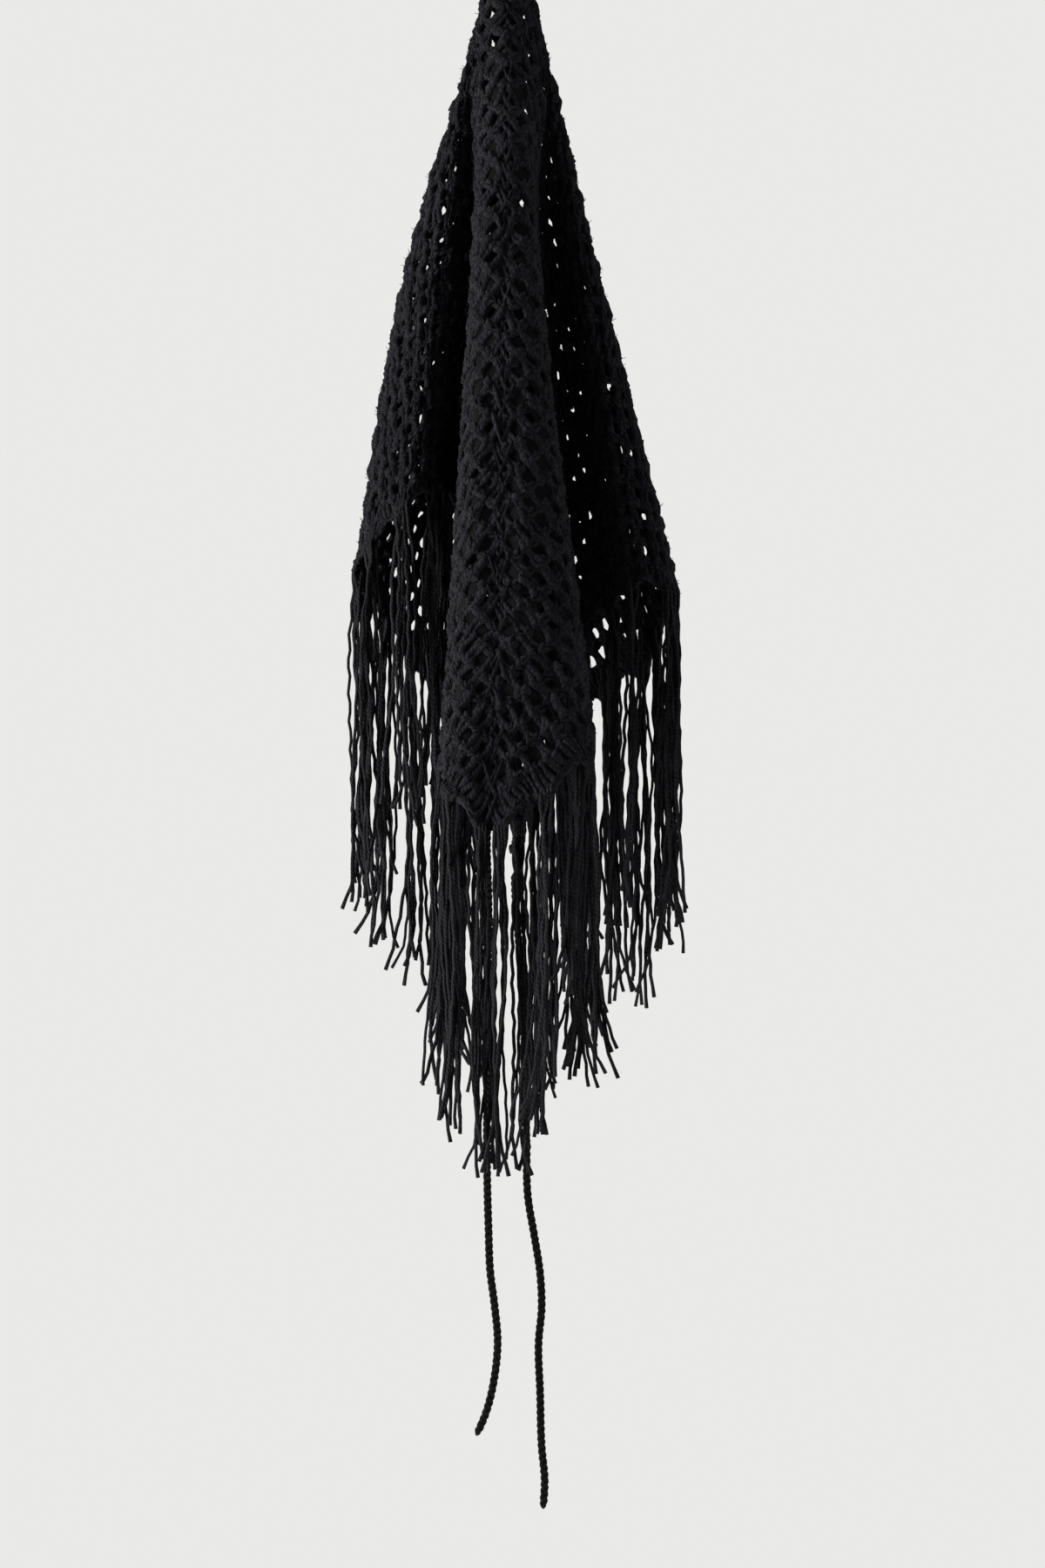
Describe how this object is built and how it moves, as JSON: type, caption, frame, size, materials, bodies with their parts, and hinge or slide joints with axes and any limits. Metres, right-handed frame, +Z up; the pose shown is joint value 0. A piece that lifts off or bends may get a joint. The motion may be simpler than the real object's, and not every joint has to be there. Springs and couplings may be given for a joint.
{
  "type": "crochet scarf",
  "caption": "Black crochet triangle scarf with long fringe and two crocheted ties, hanging in folds from the middle of its long edge.",
  "frame": {"origin": "the hanging point, at the middle of the scarf's long edge, where the gathered top is held", "axes": "+Z is up, and the front of the hanging scarf, with its middle point, faces -Y"},
  "size_m": [0.2077, 0.2613, 1.0024],
  "materials": {
    "cloth_yarn": "matte",
    "fringe_yarn": "matte",
    "tie_yarn": "matte"
  },
  "bodies": {
    "root": {"cloth_neck": "cloth_yarn", "cloth_front": "cloth_yarn", "cloth_left": "cloth_yarn", "cloth_right": "cloth_yarn", "cloth_back_left": "cloth_yarn", "cloth_back_right": "cloth_yarn", "fringe_front": "fringe_yarn", "fringe_left": "fringe_yarn", "fringe_right": "fringe_yarn", "fringe_back_left": "fringe_yarn", "fringe_back_right": "fringe_yarn", "tie_left": "tie_yarn", "tie_right": "tie_yarn"}
  },
  "joints": []
}
